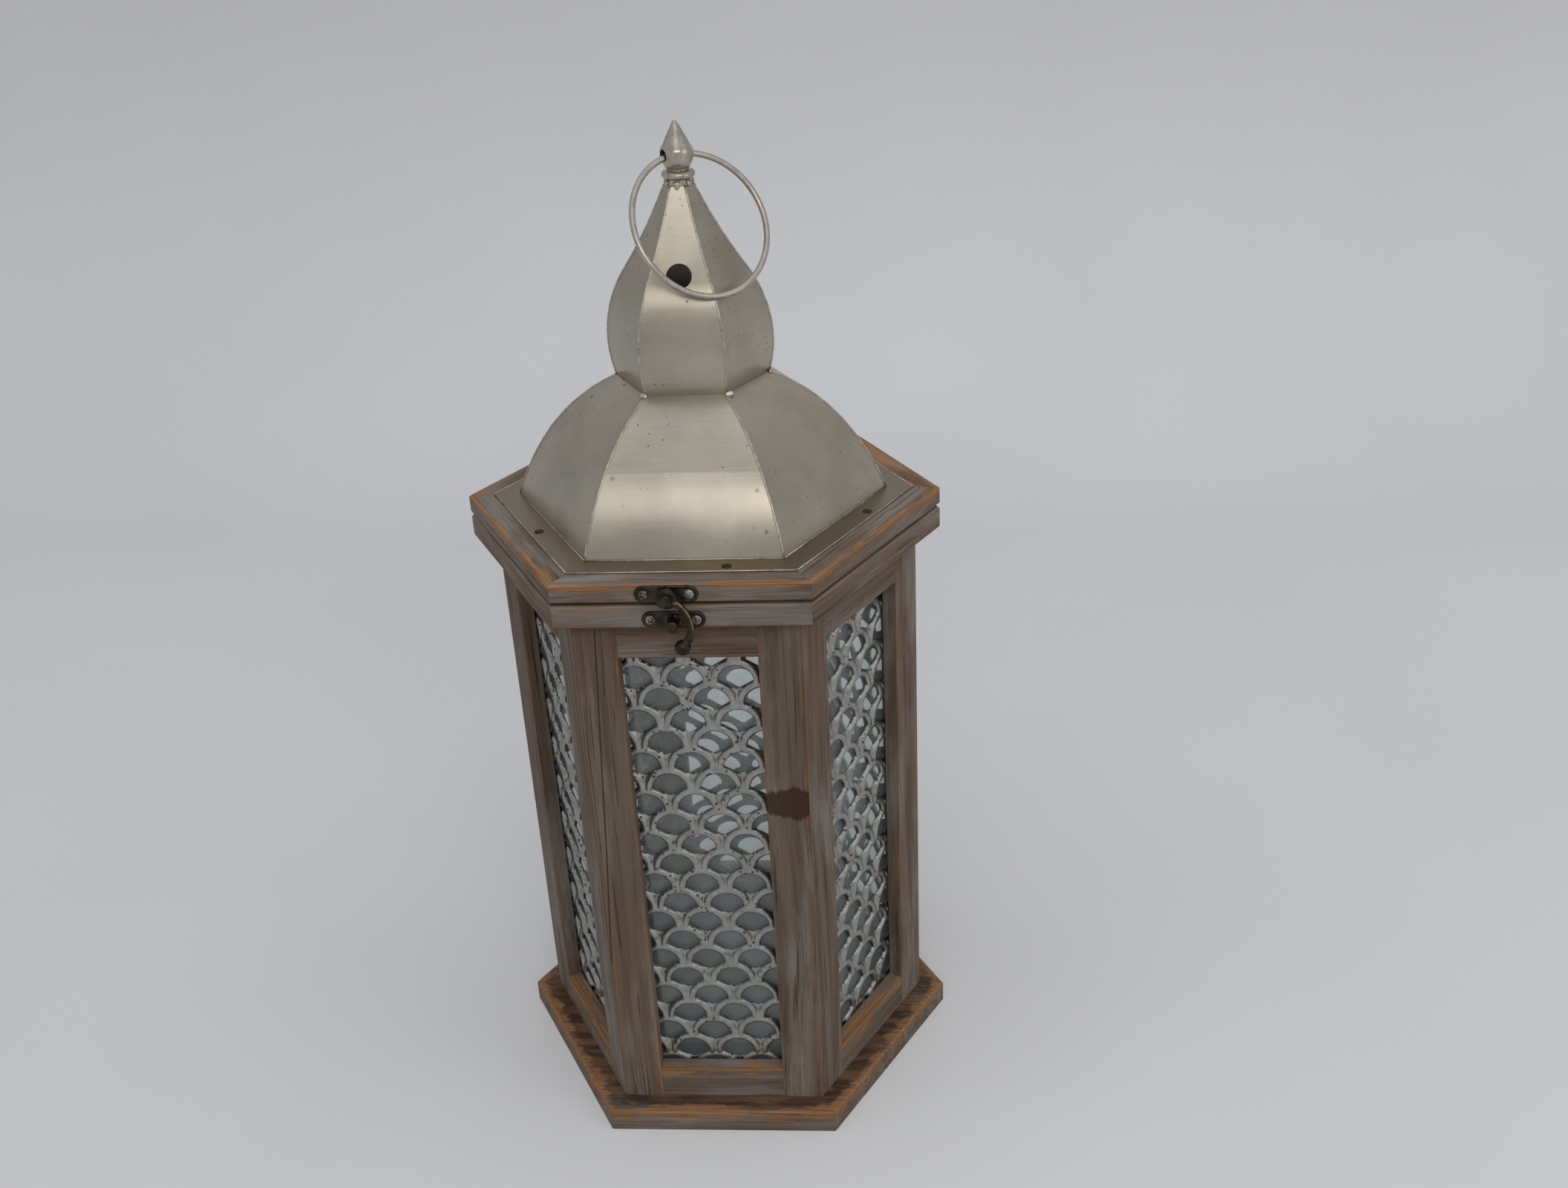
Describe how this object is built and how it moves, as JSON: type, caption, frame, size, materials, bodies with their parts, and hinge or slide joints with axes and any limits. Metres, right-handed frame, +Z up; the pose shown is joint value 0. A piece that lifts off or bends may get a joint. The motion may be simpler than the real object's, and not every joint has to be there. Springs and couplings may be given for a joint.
{
  "type": "candle lantern",
  "caption": "Hexagonal wooden candle lantern with scalloped metal grilles, a hinged roof of folded sheet metal topped by an onion and finial, a swing-arm latch and a hanging ring",
  "frame": {"origin": "middle of the base board's underside", "axes": "+Z up, -Y to the front with the latch, X across two corners of the hexagon"},
  "size_m": [0.28, 0.2545, 0.594],
  "materials": {
    "weathered_wood": "limewashed and worn, raw at the edges",
    "roof_metal": "brushed nickel, warm and slightly specked",
    "grille_metal": "pewter with brown specks",
    "floor_metal": "dark satin",
    "clear_glass": "clear",
    "ring_metal": "satin nickel",
    "latch_metal": "antique bronze, brassy at the edges",
    "hinge_metal": "dull steel"
  },
  "bodies": {
    "body": {"base_board": "weathered_wood", "floor_sheet": "floor_metal", "stile_left_1": "weathered_wood", "stile_left_2": "weathered_wood", "stile_left_3": "weathered_wood", "stile_left_4": "weathered_wood", "stile_left_5": "weathered_wood", "stile_left_6": "weathered_wood", "stile_right_1": "weathered_wood", "stile_right_2": "weathered_wood", "stile_right_3": "weathered_wood", "stile_right_4": "weathered_wood", "stile_right_5": "weathered_wood", "stile_right_6": "weathered_wood", "top_rail_1": "weathered_wood", "top_rail_2": "weathered_wood", "top_rail_3": "weathered_wood", "top_rail_4": "weathered_wood", "top_rail_5": "weathered_wood", "top_rail_6": "weathered_wood", "bottom_rail_1": "weathered_wood", "bottom_rail_2": "weathered_wood", "bottom_rail_3": "weathered_wood", "bottom_rail_4": "weathered_wood", "bottom_rail_5": "weathered_wood", "bottom_rail_6": "weathered_wood", "grille_1": "grille_metal", "grille_2": "grille_metal", "grille_3": "grille_metal", "grille_4": "grille_metal", "grille_5": "grille_metal", "grille_6": "grille_metal", "glass_1": "clear_glass", "glass_2": "clear_glass", "glass_3": "clear_glass", "glass_4": "clear_glass", "glass_5": "clear_glass", "glass_6": "clear_glass", "rim_board_1": "weathered_wood", "rim_board_2": "weathered_wood", "rim_board_3": "weathered_wood", "rim_board_4": "weathered_wood", "rim_board_5": "weathered_wood", "rim_board_6": "weathered_wood", "latch_plate_lower": "latch_metal", "hinge_leaf_fixed": "hinge_metal"},
    "lid": {"lid_board_1": "weathered_wood", "lid_board_2": "weathered_wood", "lid_board_3": "weathered_wood", "lid_board_4": "weathered_wood", "lid_board_5": "weathered_wood", "lid_board_6": "weathered_wood", "dome_shell": "roof_metal", "onion_shell": "roof_metal", "finial_collar": "roof_metal", "finial": "roof_metal", "latch_plate_upper": "latch_metal", "hinge_leaf_moving": "hinge_metal"},
    "latch_arm": {"latch_arm": "latch_metal"},
    "ring": {"ring_handle": "ring_metal"}
  },
  "joints": [
    {"name": "lid_hinge", "type": "hinge", "parent": "body", "child": "lid", "pos_m": [0, 0.12198, 0.3705], "axis": [-1, 0, 0], "range_deg": [0, 195]},
    {"name": "latch_pivot", "type": "hinge", "parent": "lid", "child": "latch_arm", "pos_m": [-0.006, -0.126, 0.3768], "axis": [0, -1, 0], "range_deg": [0, 295]},
    {"name": "ring_swing", "type": "hinge", "parent": "lid", "child": "ring", "pos_m": [0, 0, 0.5769], "axis": [-0.7944, -0.6074, 0], "range_deg": [0, 299]}
  ]
}
